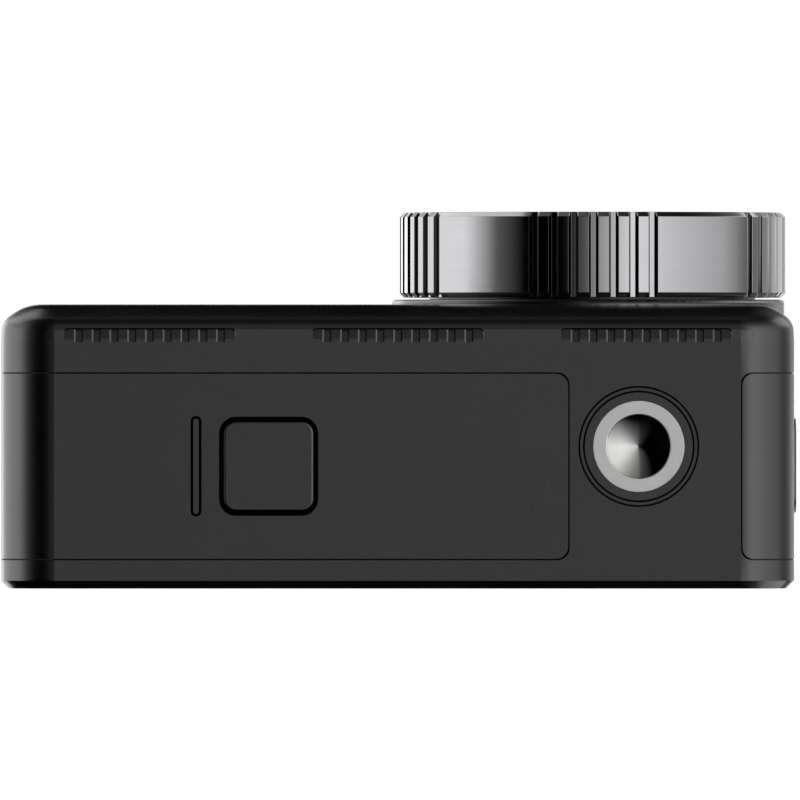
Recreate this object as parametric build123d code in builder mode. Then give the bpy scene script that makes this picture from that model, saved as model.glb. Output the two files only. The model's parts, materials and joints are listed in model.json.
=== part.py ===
from build123d import *
from math import atan2, cos, hypot, radians, sin, tan
import os

# Action camera. The origin is the middle of the tripod thread's mouth, in the bottom
# face. +X runs to the right seen from the front, -Y is the lens side and +Z is up.

# Body
body_width = 66.2
body_height = 43.0
body_depth = 23.7
thread_to_right = 13.0
corner_radius = 4.5
cover_depth = 3.15
side_draft = 2.5
front_flat_cut = 2.0
front_side_cut = 1.4
front_round = 4.0
side_round = 1.6
bezel_depth = 0.85
bezel_width = 1.7
bezel_chamfer = 0.65
front_wall = 2.0
cover_wall = 1.5
left_wall = 3.9
right_wall = 4.0
top_wall = 1.6

# Screens
glass_depth = 0.8
glass_clear = 0.05
rear_display_depth = 1.7
rear_display_inset = 6.0
front_glass_left = 4.3
front_glass_width = 25.5
front_glass_bottom = 8.8
front_glass_corner = 2.0
screen_border = 1.5
front_display_depth = 1.55

# Bottom vents
vent_width = 14.25
vent_pitch = 20.7
vent_left = 5.3
vent_count = 3
vent_length = 1.04
vent_depth = 0.16
vent_corner = 0.4
vent_wall_slope = 45.0
vent_slots = 9
vent_slot_width = 0.74
vent_slot_depth = 0.045
vent_slot_slope = 20.0
vent_margin = 0.095

# Tripod thread, 1/4"-20
thread_bore_radius = 2.65
thread_depth = 7.0
insert_radius = 3.81
insert_length = 8.4
ring_width = 1.24
ring_depth = 1.4
ring_groove_inset = 0.77
ring_groove_width = 0.16
ring_groove_depth = 0.3
boss_wall = 1.45
boss_roof = 0.8

# Doors, which wrap the bottom corners
door_thickness = 1.5
door_gap = 0.12
door_clear = 0.15
door_front_edge = 2.52
door_rear_edge = 1.51
barrel_radius = 1.5
pin_radius = 0.5
pin_clear = 0.05
pin_grip = 1.2
battery_door_end = 5.76
battery_door_corner = 1.05
battery_pin_height = 31.0
port_door_start = 8.52
port_door_corner = 0.95
port_pin_height = 22.5
seal_width = 0.9
seal_bed = 0.45
seal_proud = 0.08
seal_margin = 0.25
battery_opening_front = 3.75
battery_opening_rear = 2.75
battery_opening_end = 9.4
battery_opening_side = 8.0
opening_land = 0.9

# Release button in the battery door
button_opening = 8.27
button_corner = 1.4
button_gap = 0.35
button_edge = 0.22
release_from_left = 22.35
release_travel = 0.6
release_flange = 0.35
release_flange_depth = 0.4
release_sink = 0.05
plate_roof = 0.25
plate_clear = 0.1
plate_left = 9.2
plate_width = 28.0
plate_length = 11.7
spring_radius = 2.6
spring_width = 0.6
spring_solid = 0.3
plate_screw_inset = 1.6
plate_screw_radius = 0.5
plate_screw_head = 0.95
plate_screw_head_depth = 0.5
plate_screw_bite = 0.8
latch_length = 6.2
latch_width = 6.3
latch_depth = 1.45
thumb_from_left = 16.3
thumb_width = 0.92
thumb_length = 8.4
thumb_depth = 0.55
thumb_rib = 0.46

# Battery, cradle and card
cradle_left = 4.8
cradle_wall = 0.8
battery_width = 31.9
battery_height = 29.8
battery_clear = 0.25
battery_lift = 0.2
battery_headroom = 1.5
battery_corner = 1.5
contact_width = 12.0
contact_depth = 6.0
contact_clear = 0.15
card_width = 11.0
card_height = 15.0
card_thickness = 0.8
socket_wall = 0.55
socket_play = 0.1
socket_drop = 4.8
socket_height = 12.5
socket_side = 0.6

# Lens
lens_x = -3.72
lens_z = 25.5
plinth_x = -4.07
plinth_ledge = 2.79
plinth_proud = 0.45
plinth_sunk = 0.95
plinth_edge = 0.3
neck_wall = 1.5
neck_length = 5.3
hood_radius = 10.2
hood_depth = 4.3
hood_wall = 1.6
barrel_clear = 0.4
barrel_sunk = 0.8
barrel_flange_width = 1.0
barrel_flange_depth = 1.0
tube_bore = 7.0
tube_wall = 1.2
retainer_width = 1.6
retainer_depth = 0.7
front_element_depth = 3.0
element_depths = (1.9, 1.8, 1.6)
mount_size = 16.6
mount_depth = 1.5
mount_bore = 4.25
filter_size = 10.0
filter_depth = 0.5
sensor_width = 9.0
sensor_height = 7.4
sensor_depth = 0.6
sensor_board_depth = 0.8
spreader_depth = 1.2
spreader_size = 14.0
main_board_clear = 0.1
main_board_to_rear = 3.6
main_board_depth = 0.8
main_board_bottom = 10.5
main_board_top = 0.4
shield_width = 13.0
shield_height = 15.0
shield_depth = 1.4
shield_wall = 0.3

# Removable lens guard
guard_depth = 7.15
guard_gap = 0.17
guard_clear = 0.2
guard_wall = 1.24
guard_chamfer = 0.39
guard_seat_width = 0.7
guard_seat_depth = 1.25
window_depth = 0.95
guard_seal_depth = 0.6
guard_seal_width = 1.3
lock_clear = 0.08
lock_width = 1.07
lock_play = 0.15
lock_depth = 1.3
lock_lift = 0.13
lock_pocket_depth = 1.5
knurl_groups = 5
knurl_grooves = 7
knurl_pitch = 6.0
knurl_groove_width = 0.5
knurl_groove_depth = 0.4

# Shutter and power buttons
shutter_from_left = 23.2
shutter_radius = 5.2
shutter_proud = 0.6
shutter_cap_depth = 1.7
shutter_clear = 0.15
shutter_flange = 0.7
shutter_flange_depth = 0.6
shutter_travel = 0.5
shutter_collar = 7.2
shutter_collar_depth = 1.8
shutter_roof = 1.0
shutter_edge = 0.3
mark_radius = 3.3
mark_width = 0.7
mark_depth = 0.2
button_stem = 1.0
button_board_depth = 1.0
button_board_width = 18.0
button_board_length = 9.0
switch_size = 5.0
shutter_switch_height = 1.5
stem_clear = 0.1
seal_washer = 0.15
power_z = 31.0
power_proud = 0.45
power_cap_depth = 1.5
power_flange = 0.45
power_flange_depth = 0.6
power_roof = 0.9
power_travel = 0.5
power_board_depth = 0.8
power_board_margin = 0.8
power_switch_depth = 1.2

# USB-C socket
usb_z = 15.0
usb_width = 3.26
usb_height = 8.94
usb_depth = 6.6
usb_wall = 0.3
usb_floor = 1.2
usb_tongue_width = 0.7
usb_tongue_height = 6.69
usb_tongue_back = 0.6
port_seal_width = 7.2
port_seal_height = 12.6

# Screws and posts
post_radius = 2.0
screw_radius = 0.8
screw_head_radius = 1.5
screw_head_depth = 1.0
screw_head_clear = 0.1
screw_seat = 5.7
screw_bite = 0.9
screw_from_door = 2.4
post_rear = 6.0
post_bury = 0.4
board_post_radius = 1.6
board_post_length = 2.6
board_screw_radius = 0.6
board_screw_bite = 1.8
board_screw_head = 1.1
board_screw_head_depth = 0.5
board_screw_drop = 1.5

# Sound, lights and radio
speaker_width = 10.1
speaker_left = -5.5
speaker_height = 7.0
speaker_depth = 1.1
microphone_radius = 1.6
microphone_depth = 0.95
microphone_hole = 0.4
microphone_inset = 2.8
microphones_from_lens = (18.0, 10.0)
light_radius = 0.6
light_spread = 6.0
light_inset = 3.9
antenna_width = 9.5
antenna_length = 12.0
antenna_depth = 0.3
antenna_gap = 0.8

# Faces and planes worked out from the sizes above
left = thread_to_right - body_width
right = thread_to_right
front = -body_depth / 2
rear = body_depth / 2
middle_x = (left + right) / 2
crease = front + cover_depth
housing_rear = rear - bezel_depth
cavity_front = front + front_wall
inner_left = left + left_wall
inner_right = right - right_wall
inner_top = body_height - top_wall
shutter_x = left + shutter_from_left
door_front = crease + door_front_edge
door_rear = housing_rear - door_rear_edge
rebate_depth = door_thickness + door_clear
battery_door_right = -battery_door_end
battery_pin = (left + barrel_radius, battery_pin_height)
port_pin = (right - barrel_radius, port_pin_height)
opening_front = crease + battery_opening_front
opening_rear = housing_rear - battery_opening_rear
opening_right = -battery_opening_end
opening_y = (opening_front, opening_rear)
door_middle = (opening_front + opening_rear) / 2
overcut = 1.0

release_x = left + release_from_left
thumb_x = left + thumb_from_left
cap_top = release_sink + door_thickness
flange_z = (cap_top, cap_top + release_flange_depth)
cavity_roof = flange_z[1] + release_travel + spring_solid
plate_z = (door_thickness, cavity_roof + plate_roof)
bottom_wall = plate_z[1] + plate_clear

cradle_width = battery_width + 2 * (battery_clear + cradle_wall)
cradle_height = battery_lift + battery_height + battery_headroom + cradle_wall
cradle_x = (left + cradle_left, left + cradle_left + cradle_width)
cradle_y = (opening_front - cradle_wall, opening_rear + cradle_wall)
cradle_z = (bottom_wall, bottom_wall + cradle_height)
battery_x = (cradle_x[0] + cradle_wall + battery_clear, cradle_x[1] - cradle_wall - battery_clear)
battery_y = (opening_front + battery_clear, opening_rear - battery_clear)
battery_z = (bottom_wall + battery_lift, bottom_wall + battery_lift + battery_height)
card_middle = cradle_x[1] + socket_wall + socket_play + card_thickness / 2
socket_x = (cradle_x[1], card_middle + card_thickness / 2 + socket_play + socket_wall)

ring_radius = insert_radius + ring_width
ring_groove_radius = insert_radius + ring_groove_inset
boss_radius = ring_radius + boss_wall
boss_height = insert_length + boss_roof

hood_outside = hood_radius + hood_wall
tube_outside = tube_bore + tube_wall
neck_bore = hood_outside + barrel_clear
neck_radius = neck_bore + neck_wall
barrel_flange_radius = neck_bore + barrel_flange_width
plinth_radius = neck_radius + plinth_ledge
guard_bore = neck_radius + guard_clear
guard_seat_radius = guard_bore + guard_seat_width
guard_seal_bore = guard_bore - guard_seal_width
lock_bore = neck_radius + lock_clear
lock_radius = lock_bore + lock_width
lock_pocket_radius = lock_radius + lock_play
guard_radius = lock_pocket_radius + guard_wall

plinth_front = front - plinth_proud
plinth_rear = front + plinth_sunk
neck_front = plinth_front - neck_length
guard_rear = plinth_front - guard_gap
guard_front = guard_rear - guard_depth
guard_seat = guard_front + guard_seat_depth
barrel_front = neck_front + barrel_sunk
hood_rear = barrel_front + hood_depth
main_board_rear = housing_rear - main_board_to_rear
spreader_rear = main_board_rear - main_board_depth
sensor_board_rear = spreader_rear - spreader_depth
sensor_rear = sensor_board_rear - sensor_board_depth
mount_rear = sensor_rear - sensor_depth
barrel_rear = mount_rear - mount_depth
main_board_x = (socket_x[1] + main_board_clear, inner_right)
main_board_z = (main_board_bottom, inner_top - main_board_top)

# Screw places as (x, z)
post_reach = post_radius - post_bury
board_post_reach = board_post_radius - post_bury
case_screws_at = (
    (inner_left + post_reach, inner_top - post_reach),
    (inner_right - post_reach, inner_top - post_reach),
    (inner_right - post_reach, bottom_wall + post_reach),
    (battery_door_right - screw_from_door, bottom_wall + post_reach),
)
board_screws_at = (
    (inner_right - board_post_reach, lens_z - board_screw_drop),
    (main_board_x[0] + board_post_radius, inner_top - board_post_reach),
)
microphones_at = (
    (lens_x - microphones_from_lens[0], inner_top - microphone_inset),
    (lens_x - microphones_from_lens[1], bottom_wall + microphone_inset),
)
lights_z = inner_top - light_inset
lights_at = ((shutter_x - light_spread, lights_z), (shutter_x + light_spread, lights_z))


def facing(y):
    """A plane that faces the front at this y, with its own x along X and y along Z."""
    return Plane.XZ.offset(-y)


def block(x, y, z, mode=Mode.ADD):
    """A box between three (low, high) pairs."""
    with Locations(((x[0] + x[1]) / 2, (y[0] + y[1]) / 2, (z[0] + z[1]) / 2)):
        Box(x[1] - x[0], y[1] - y[0], z[1] - z[0], mode=mode)


def around(middle, size):
    """A (low, high) pair of this size around its middle."""
    return (middle - size / 2, middle + size / 2)


def rod_x(radius, y, z, x, mode=Mode.ADD):
    """A cylinder along X between the (low, high) pair x."""
    with Locations(((x[0] + x[1]) / 2, y, z)):
        Cylinder(radius, x[1] - x[0], rotation=(0, 90, 0), mode=mode)


def rod_y(radius, x, z, y, mode=Mode.ADD):
    """A cylinder along Y between the (low, high) pair y."""
    with Locations((x, (y[0] + y[1]) / 2, z)):
        Cylinder(radius, y[1] - y[0], rotation=(90, 0, 0), mode=mode)


def rod_z(radius, x, y, z, mode=Mode.ADD):
    """A cylinder along Z between the (low, high) pair z."""
    with Locations((x, y, (z[0] + z[1]) / 2)):
        Cylinder(radius, z[1] - z[0], mode=mode)


def outline(inset=0.0, mode=Mode.ADD):
    """The body's outline seen from the front, inset from the outer skin."""
    with Locations((middle_x, body_height / 2)):
        RectangleRounded(
            body_width - 2 * inset,
            body_height - 2 * inset,
            max(corner_radius - inset, overcut),
            mode=mode,
        )


def wrap(x, z, y, depths):
    """A strip that follows the skin between two depths, cut to a box in x, z and y."""
    with BuildPart() as strip:
        with BuildSketch(facing(y[1])):
            outline(depths[0])
            outline(depths[1], mode=Mode.SUBTRACT)
            with Locations(((x[0] + x[1]) / 2, (z[0] + z[1]) / 2)):
                Rectangle(x[1] - x[0], z[1] - z[0], mode=Mode.INTERSECT)
        extrude(amount=y[1] - y[0])
    return strip.part


def door_shape(x, free_side, pin, gap, corner):
    """A door, or with a gap its rebate: a wrapped strip with a barrel round its pin."""
    outside = -overcut if gap else 0.0
    depth = rebate_depth if gap else door_thickness
    y = (door_front, door_rear) if gap else (door_front + door_gap, door_rear - door_gap)
    strip = wrap(x, (outside, pin[1]), y, (outside, depth))
    with BuildPart() as door:
        add(strip)
        rod_y(barrel_radius + gap, pin[0], pin[1], y)
        free_edges = door.edges().filter_by(Axis.Z).group_by(Axis.X)[free_side]
        fillet(free_edges, corner)
        if gap:
            relief_x = (x[0], pin[0]) if free_side == -1 else (pin[0], x[1])
            block(relief_x, y, (pin[1], pin[1] + barrel_radius + gap))
    return door.part


def vent_floor(x):
    """The plane of a vent's sloped floor, with y toward the front and z out of the body."""
    slope = atan2(vent_depth, vent_length)
    return Plane((x, crease, 0), x_dir=(1, 0, 0), z_dir=(0, -sin(slope), -cos(slope)))


def vent_recess(x):
    """Cuts a recess that is flush at the crease and deepest toward the front."""
    length = hypot(vent_length, vent_depth)
    with BuildSketch(vent_floor(x)) as profile:
        with Locations((vent_width / 2, length / 2)):
            Rectangle(vent_width, length)
        fillet(profile.vertices().group_by(Axis.Y)[-1], vent_corner)
    extrude(profile.sketch, amount=overcut, taper=-vent_wall_slope, mode=Mode.SUBTRACT)


def vent_slot(x):
    """Cuts a shallow groove with sloped sides into a vent's floor."""
    floor = vent_floor(x)
    run = vent_slot_depth / tan(radians(vent_slot_slope))
    with BuildSketch(Plane(floor.origin, x_dir=(1, 0, 0), z_dir=floor.y_dir)) as profile:
        with BuildLine():
            Polyline(
                (0, -vent_slot_depth),
                (0, 0),
                (run, vent_slot_depth),
                (vent_slot_width - run, vent_slot_depth),
                (vent_slot_width, 0),
                (vent_slot_width, -vent_slot_depth),
                close=True,
            )
        make_face()
    extrude(profile.sketch, amount=hypot(vent_length, vent_depth), mode=Mode.SUBTRACT)


def square_cap(x, y, size, corner, z):
    """A rounded square block along Z."""
    with BuildSketch(Plane.XY.offset(z[0])) as profile:
        with Locations((x, y)):
            RectangleRounded(size, size, corner)
    extrude(profile.sketch, amount=z[1] - z[0])


def save(piece, name):
    """Labels a finished piece and writes it to its own STEP file."""
    piece.part.label = name
    export_step(piece.part, f"parts/{name}.step")


os.makedirs("parts", exist_ok=True)

# Shapes that two pieces share
battery_door_x = (left, battery_door_right - door_gap)
battery_rebate = door_shape(
    (left - overcut, battery_door_right), -1, battery_pin, door_gap, battery_door_corner
)
port_door_x = (port_door_start + door_gap, right)
port_rebate = door_shape(
    (port_door_start, right + overcut), 0, port_pin, door_gap, port_door_corner
)

# Front cover
with BuildPart() as front_cover:
    with BuildSketch(facing(crease)):
        outline()
    extrude(amount=cover_depth, taper=side_draft)
    nose = front_cover.faces().sort_by(Axis.Y)[0]
    chamfer(nose.edges(), front_flat_cut, front_side_cut, reference=nose)
    nose = front_cover.faces().sort_by(Axis.Y)[0]
    fillet(nose.edges(), front_round)
    shoulder = front_cover.edges().filter_by(
        lambda edge: abs(edge.center().Y - (front + front_side_cut)) < front_side_cut / 10
    )
    fillet(shoulder, side_round)
    inside_x = (left + cover_wall, right - cover_wall)
    block(inside_x, (cavity_front, crease), (cover_wall, body_height - cover_wall), Mode.SUBTRACT)
    for x, z in case_screws_at:
        rod_y(post_radius, x, z, (cavity_front, crease))
        rod_y(screw_radius, x, z, (crease - screw_bite, crease), Mode.SUBTRACT)
    plinth_seat = plinth_radius + glass_clear
    rod_y(plinth_seat, plinth_x, lens_z, (front - overcut, plinth_rear), Mode.SUBTRACT)
    flange_seat = barrel_flange_radius + glass_clear
    rod_y(flange_seat, lens_x, lens_z, (plinth_rear, crease), Mode.SUBTRACT)
    glass_x = (left + front_glass_left, left + front_glass_left + front_glass_width)
    glass_z = (front_glass_bottom, front_glass_bottom + front_glass_width)
    with BuildSketch(facing(front + glass_depth)):
        with Locations((sum(glass_x) / 2, sum(glass_z) / 2)):
            RectangleRounded(front_glass_width, front_glass_width, front_glass_corner)
    extrude(amount=glass_depth, mode=Mode.SUBTRACT)
    display_x = (glass_x[0] + screen_border, glass_x[1] - screen_border)
    display_z = (glass_z[0] + screen_border, glass_z[1] - screen_border)
    block(display_x, (front, cavity_front), display_z, Mode.SUBTRACT)
    for x, z in microphones_at:
        rod_y(microphone_hole, x, z, (front, cavity_front), Mode.SUBTRACT)
    for x, z in lights_at:
        rod_y(light_radius, x, z, (front, cavity_front), Mode.SUBTRACT)
    for group in range(vent_count):
        vent_x = left + vent_left + group * vent_pitch
        vent_recess(vent_x)
        for slot in range(vent_slots):
            vent_slot(vent_x + vent_margin + (2 * slot + 1) * vent_slot_width)
save(front_cover, "front_cover")

# Main housing
with BuildPart() as main_housing:
    with BuildSketch(facing(housing_rear)):
        outline()
    extrude(amount=housing_rear - crease)
    inside = (crease, housing_rear)
    block((inner_left, inner_right), inside, (bottom_wall, inner_top), Mode.SUBTRACT)
    rod_z(boss_radius, 0, 0, (bottom_wall, boss_height))
    for x, z in case_screws_at:
        rod_y(post_radius, x, z, (crease, housing_rear - post_rear))
    for x, z in board_screws_at:
        rod_y(board_post_radius, x, z, (spreader_rear - board_post_length, spreader_rear))
        bite = (spreader_rear - board_screw_bite, spreader_rear)
        rod_y(board_screw_radius, x, z, bite, Mode.SUBTRACT)
    for x, z in case_screws_at:
        screw_shoulder = crease + screw_seat
        rod_y(screw_radius, x, z, (crease, screw_shoulder), Mode.SUBTRACT)
        head_hole = (screw_shoulder, housing_rear)
        rod_y(screw_head_radius + screw_head_clear, x, z, head_hole, Mode.SUBTRACT)
    rod_z(shutter_collar, shutter_x, 0, (inner_top - shutter_collar_depth, inner_top))
    ceiling = body_height - shutter_roof
    flange_room = shutter_radius + shutter_flange + shutter_clear
    rod_z(flange_room, shutter_x, 0, (inner_top - shutter_collar_depth, ceiling), Mode.SUBTRACT)
    rod_z(shutter_radius + shutter_clear, shutter_x, 0, (ceiling, body_height), Mode.SUBTRACT)
    power_hole = around(door_middle, button_opening), around(power_z, button_opening)
    block((right - power_roof, right), power_hole[0], power_hole[1], Mode.SUBTRACT)
    power_room = button_opening + 2 * (power_flange + door_gap)
    power_room_y = around(door_middle, power_room)
    power_room_z = around(power_z, power_room)
    block((inner_right, right - power_roof), power_room_y, power_room_z, Mode.SUBTRACT)
    add(battery_rebate, mode=Mode.SUBTRACT)
    add(port_rebate, mode=Mode.SUBTRACT)
    block((left, opening_right), opening_y, (0, bottom_wall), Mode.SUBTRACT)
    block((left, inner_left), opening_y, (0, battery_opening_side), Mode.SUBTRACT)
    for x, z in (battery_pin, port_pin):
        rod_y(pin_radius, x, z, (door_front - pin_grip, housing_rear), Mode.SUBTRACT)
    with BuildSketch(Plane.YZ.offset(inner_right)):
        with Locations((door_middle, usb_z)):
            RectangleRounded(usb_width, usb_height, usb_width / 2 - door_gap)
    extrude(amount=right_wall, mode=Mode.SUBTRACT)
    rod_z(ring_radius, 0, 0, (0, ring_depth), Mode.SUBTRACT)
    rod_z(insert_radius, 0, 0, (0, insert_length), Mode.SUBTRACT)
save(main_housing, "main_housing")

# Rear bezel, glass and screen
with BuildPart() as rear_bezel:
    with BuildSketch(facing(rear)):
        outline()
    extrude(amount=bezel_depth)
    back = rear_bezel.faces().sort_by(Axis.Y)[-1]
    chamfer(back.edges(), bezel_chamfer)
    with BuildSketch(facing(rear)):
        outline(bezel_width)
    extrude(amount=bezel_depth, mode=Mode.SUBTRACT)
save(rear_bezel, "rear_bezel")

with BuildPart() as rear_glass:
    with BuildSketch(facing(housing_rear + glass_depth)):
        outline(bezel_width + glass_clear)
    extrude(amount=glass_depth)
save(rear_glass, "rear_glass")

with BuildPart() as rear_display:
    screen_x = (left + rear_display_inset, inner_right - glass_clear)
    screen_z = (rear_display_inset, body_height - rear_display_inset)
    block(screen_x, (housing_rear - rear_display_depth, housing_rear), screen_z)
save(rear_display, "rear_display")

with BuildPart() as front_glass:
    pane = front_glass_width - 2 * glass_clear
    with BuildSketch(facing(front + glass_depth)):
        with Locations((sum(glass_x) / 2, sum(glass_z) / 2)):
            RectangleRounded(pane, pane, front_glass_corner - glass_clear)
    extrude(amount=glass_depth)
save(front_glass, "front_glass")

with BuildPart() as front_display:
    display_rear = front + glass_depth + front_display_depth
    block(display_x, (front + glass_depth, display_rear), display_z)
save(front_display, "front_display")

# Lens: plinth, barrel and glass
with BuildPart() as lens_plinth:
    rod_y(plinth_radius, plinth_x, lens_z, (plinth_front, plinth_rear))
    fillet(lens_plinth.edges().sort_by(Axis.Y)[0], plinth_edge)
    rod_y(neck_radius, lens_x, lens_z, (neck_front, plinth_rear))
    rod_y(neck_bore, lens_x, lens_z, (neck_front, plinth_rear), Mode.SUBTRACT)
save(lens_plinth, "lens_plinth")

with BuildPart() as lens_barrel:
    flange_y = (plinth_rear, plinth_rear + barrel_flange_depth)
    rod_y(hood_outside, lens_x, lens_z, (barrel_front, flange_y[1]))
    rod_y(barrel_flange_radius, lens_x, lens_z, flange_y)
    rod_y(tube_outside, lens_x, lens_z, (flange_y[1], barrel_rear))
    rod_y(hood_radius, lens_x, lens_z, (barrel_front, hood_rear), Mode.SUBTRACT)
    rod_y(tube_bore, lens_x, lens_z, (hood_rear, barrel_rear), Mode.SUBTRACT)
save(lens_barrel, "lens_barrel")

front_element_front = hood_rear - front_element_depth
with BuildPart() as front_element:
    rod_y(hood_radius, lens_x, lens_z, (front_element_front, hood_rear))
save(front_element, "lens_element_1")

element_gap = (barrel_rear - hood_rear - sum(element_depths)) / (len(element_depths) + 1)
element_front = hood_rear + element_gap
for number, depth in enumerate(element_depths, start=2):
    with BuildPart() as element:
        rod_y(tube_bore, lens_x, lens_z, (element_front, element_front + depth))
    save(element, f"lens_element_{number}")
    element_front += depth + element_gap

with BuildPart() as lens_retainer:
    retainer_y = (front_element_front - retainer_depth, front_element_front)
    rod_y(hood_radius, lens_x, lens_z, retainer_y)
    rod_y(hood_radius - retainer_width, lens_x, lens_z, retainer_y, Mode.SUBTRACT)
save(lens_retainer, "lens_retainer")

# Sensor stack and boards
mount_x = around(lens_x, mount_size)
mount_z = around(lens_z, mount_size)
filter_y = (mount_rear - filter_depth, mount_rear)
with BuildPart() as lens_mount:
    block(mount_x, (barrel_rear, mount_rear), mount_z)
    block(around(lens_x, filter_size), filter_y, around(lens_z, filter_size), Mode.SUBTRACT)
    rod_y(mount_bore, lens_x, lens_z, (barrel_rear, mount_rear), Mode.SUBTRACT)
save(lens_mount, "lens_mount")

with BuildPart() as ir_filter:
    block(around(lens_x, filter_size), filter_y, around(lens_z, filter_size))
save(ir_filter, "ir_filter")

with BuildPart() as image_sensor:
    sensor_y = (mount_rear, sensor_rear)
    block(around(lens_x, sensor_width), sensor_y, around(lens_z, sensor_height))
save(image_sensor, "image_sensor")

with BuildPart() as sensor_board:
    block(mount_x, (sensor_rear, sensor_board_rear), mount_z)
save(sensor_board, "sensor_board")

with BuildPart() as heat_spreader:
    spreader_y = (sensor_board_rear, spreader_rear)
    block(around(lens_x, spreader_size), spreader_y, around(lens_z, spreader_size))
save(heat_spreader, "heat_spreader")

with BuildPart() as main_board:
    block(main_board_x, (spreader_rear, main_board_rear), main_board_z)
    for x, z in board_screws_at:
        rod_y(board_screw_radius, x, z, (spreader_rear, main_board_rear), Mode.SUBTRACT)
save(main_board, "main_board")

with BuildPart() as processor_shield:
    shield_y = (main_board_rear, main_board_rear + shield_depth)
    block(around(lens_x, shield_width), shield_y, around(lens_z, shield_height))
    hollow_x = around(lens_x, shield_width - 2 * shield_wall)
    hollow_z = around(lens_z, shield_height - 2 * shield_wall)
    block(hollow_x, (shield_y[0], shield_y[1] - shield_wall), hollow_z, Mode.SUBTRACT)
save(processor_shield, "processor_shield")

# USB-C socket
usb_front = right - rebate_depth
with BuildPart() as usb_socket:
    with BuildSketch(Plane.YZ.offset(usb_front - usb_depth)):
        with Locations((door_middle, usb_z)):
            RectangleRounded(usb_width, usb_height, usb_width / 2 - door_gap)
    extrude(amount=usb_depth)
    with BuildSketch(Plane.YZ.offset(usb_front)):
        with Locations((door_middle, usb_z)):
            inner_width = usb_width - 2 * usb_wall
            RectangleRounded(inner_width, usb_height - 2 * usb_wall, inner_width / 2 - door_gap)
    extrude(amount=-(usb_depth - usb_floor), mode=Mode.SUBTRACT)
    tongue_x = (usb_front - usb_depth + usb_floor, usb_front - usb_tongue_back)
    block(tongue_x, around(door_middle, usb_tongue_width), around(usb_z, usb_tongue_height))
save(usb_socket, "usb_socket")

# Battery, its cradle and contacts
with BuildPart() as battery_cradle:
    block(cradle_x, cradle_y, cradle_z)
    cradle_inside_x = (cradle_x[0] + cradle_wall, cradle_x[1] - cradle_wall)
    cradle_inside_z = (cradle_z[0], cradle_z[1] - cradle_wall)
    block(cradle_inside_x, opening_y, cradle_inside_z, Mode.SUBTRACT)
save(battery_cradle, "battery_cradle")

with BuildPart() as battery:
    block(battery_x, battery_y, battery_z)
    fillet(battery.edges().filter_by(Axis.Z), battery_corner)
save(battery, "battery")

with BuildPart() as battery_contacts:
    contact_x = around(sum(battery_x) / 2, contact_width)
    contact_z = (battery_z[1] + contact_clear, cradle_inside_z[1])
    block(contact_x, around(door_middle, contact_depth), contact_z)
save(battery_contacts, "battery_contacts")

# Memory card and its socket, beside the cradle
card_z = (battery_z[0], battery_z[0] + card_height)
socket_z = (card_z[0] + socket_drop, card_z[0] + socket_drop + socket_height)
with BuildPart() as card_socket:
    block(socket_x, around(door_middle, card_width + 2 * socket_side), socket_z)
    slot_x = around(card_middle, card_thickness + 2 * socket_play)
    slot_z = (socket_z[0], card_z[1] + socket_play)
    block(slot_x, around(door_middle, card_width + 2 * socket_play), slot_z, Mode.SUBTRACT)
save(card_socket, "card_socket")

with BuildPart() as memory_card:
    block(around(card_middle, card_thickness), around(door_middle, card_width), card_z)
save(memory_card, "memory_card")

# Tripod insert and the ring round it
with BuildPart() as tripod_insert:
    rod_z(insert_radius, 0, 0, (0, insert_length))
    rod_z(thread_bore_radius, 0, 0, (0, thread_depth), Mode.SUBTRACT)
save(tripod_insert, "tripod_insert")

with BuildPart() as tripod_ring:
    rod_z(ring_radius, 0, 0, (0, ring_depth))
    rod_z(insert_radius, 0, 0, (0, ring_depth), Mode.SUBTRACT)
    with BuildSketch(Plane.XY):
        Circle(ring_radius)
        Circle(ring_radius - ring_groove_width, mode=Mode.SUBTRACT)
        Circle(ring_groove_radius + ring_groove_width / 2)
        Circle(ring_groove_radius - ring_groove_width / 2, mode=Mode.SUBTRACT)
    extrude(amount=ring_groove_depth, mode=Mode.SUBTRACT)
save(tripod_ring, "tripod_ring")

# Battery door and what rides on it
seal_depths = (door_thickness - seal_bed, door_thickness + seal_proud)
seal_end = opening_right + opening_land + seal_width
seal_top = battery_opening_side + opening_land + seal_width
seal_y = (door_front + seal_margin, door_rear - seal_margin)
with BuildPart() as battery_door_seal:
    add(wrap((left, seal_end), (0, seal_top), seal_y, seal_depths))
    hole_x = (left, seal_end - seal_width)
    hole_z = (0, seal_top - seal_width)
    hole_y = (seal_y[0] + seal_width, seal_y[1] - seal_width)
    add(wrap(hole_x, hole_z, hole_y, (0, rebate_depth)), mode=Mode.SUBTRACT)
save(battery_door_seal, "battery_door_seal")

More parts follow.
